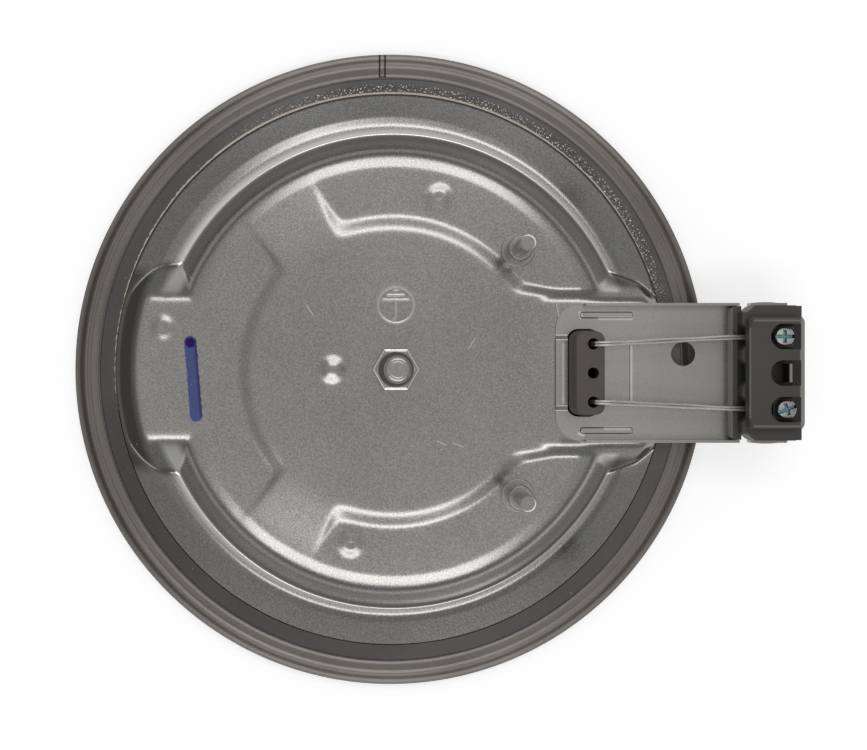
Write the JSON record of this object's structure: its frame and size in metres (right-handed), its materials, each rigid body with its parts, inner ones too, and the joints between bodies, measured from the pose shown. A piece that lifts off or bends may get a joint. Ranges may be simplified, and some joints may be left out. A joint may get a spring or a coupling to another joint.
{
  "type": "solid hotplate",
  "caption": "Round cast-iron electric hotplate seen from below, with a spill ring, embossed base cover, fixing stud, spacer pins, ceramic bead, bare leads and a terminal block on a bracket.",
  "frame": {"origin": "centre of the cooking face, on its plane", "axes": "+Z from the cooking face to the underside, along the fixing stud; +X towards the terminal block; +Y completes the right-handed frame"},
  "size_m": [0.2232, 0.197, 0.0494],
  "materials": {
    "cast_iron": "as cast, ground on the rim",
    "ring_steel": "drawn stainless",
    "cover_steel": "rolled and coated",
    "bracket_steel": "rolled and coated",
    "plated_steel": "bright zinc plated",
    "pin_steel": "turned",
    "nickel_wire": "drawn",
    "heating_wire": "oxidised",
    "contact_metal": "tinned",
    "compound": "pressed and fired",
    "bead_ceramic": "unglazed",
    "block_phenolic": "moulded"
  },
  "bodies": {
    "root": {"cast_iron_plate": "cast_iron", "spill_ring": "ring_steel", "base_cover": "cover_steel", "heating_coil": "heating_wire", "embedding_compound": "compound", "central_stud": "plated_steel", "fixing_nut": "plated_steel", "spacer_pin_1": "pin_steel", "spacer_pin_2": "pin_steel", "ceramic_bead": "bead_ceramic", "lead_wire_1": "nickel_wire", "lead_wire_2": "nickel_wire", "terminal_bracket": "bracket_steel", "terminal_block": "block_phenolic", "middle_tab": "contact_metal", "contact_plate_1": "contact_metal", "contact_plate_2": "contact_metal", "clamp_washer_1": "plated_steel", "clamp_washer_2": "plated_steel", "terminal_screw_1": "plated_steel", "terminal_screw_2": "plated_steel"}
  },
  "joints": []
}
